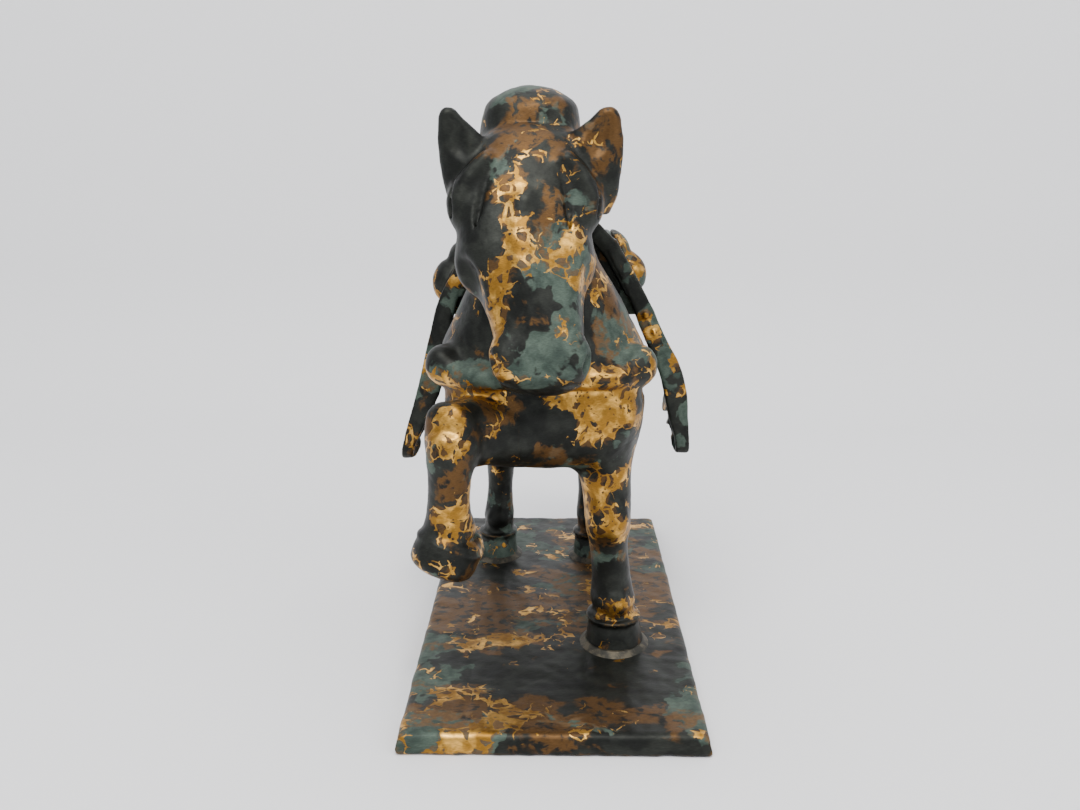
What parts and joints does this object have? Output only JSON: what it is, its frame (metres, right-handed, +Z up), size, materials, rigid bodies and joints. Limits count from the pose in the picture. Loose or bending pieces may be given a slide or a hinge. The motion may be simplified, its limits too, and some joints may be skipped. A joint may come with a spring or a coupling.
{
  "type": "horse statuette",
  "caption": "Patinated bronze horse standing on a thin rectangular plate, right foreleg raised, with a saddle and long side flaps.",
  "frame": {"origin": "centre of the plate's flat underside", "axes": "+Z up out of the plate; -Y the way the horse faces; +X to the horse's left"},
  "size_m": [0.1116, 0.198, 0.2051],
  "materials": {
    "plate_bronze": "satin, dark patina worn to gold and green",
    "body_bronze": "satin, dark patina worn to gold and green",
    "saddle_bronze": "satin, dark patina with gilt edges",
    "braze": "dull grey-brown braze",
    "rod_bronze": "bare drawn bronze"
  },
  "bodies": {
    "root": {"base_plate": "plate_bronze", "hoof_rings": "braze", "trunk": "body_bronze", "core_plugs": "body_bronze", "neck": "body_bronze", "mane": "body_bronze", "head": "body_bronze", "ear_left": "body_bronze", "ear_right": "body_bronze", "foreleg_left": "body_bronze", "foreleg_right": "body_bronze", "hindleg_left": "body_bronze", "hindleg_right": "body_bronze", "tail": "body_bronze", "saddle": "saddle_bronze", "pommel_arch": "saddle_bronze", "flap_left": "saddle_bronze", "flap_right": "saddle_bronze", "saddle_rolls": "saddle_bronze", "leg_tenons": "rod_bronze", "leg_dowels": "rod_bronze", "neck_dowels": "rod_bronze", "head_dowels": "rod_bronze", "ear_pins": "rod_bronze", "tail_dowel": "rod_bronze"}
  },
  "joints": []
}
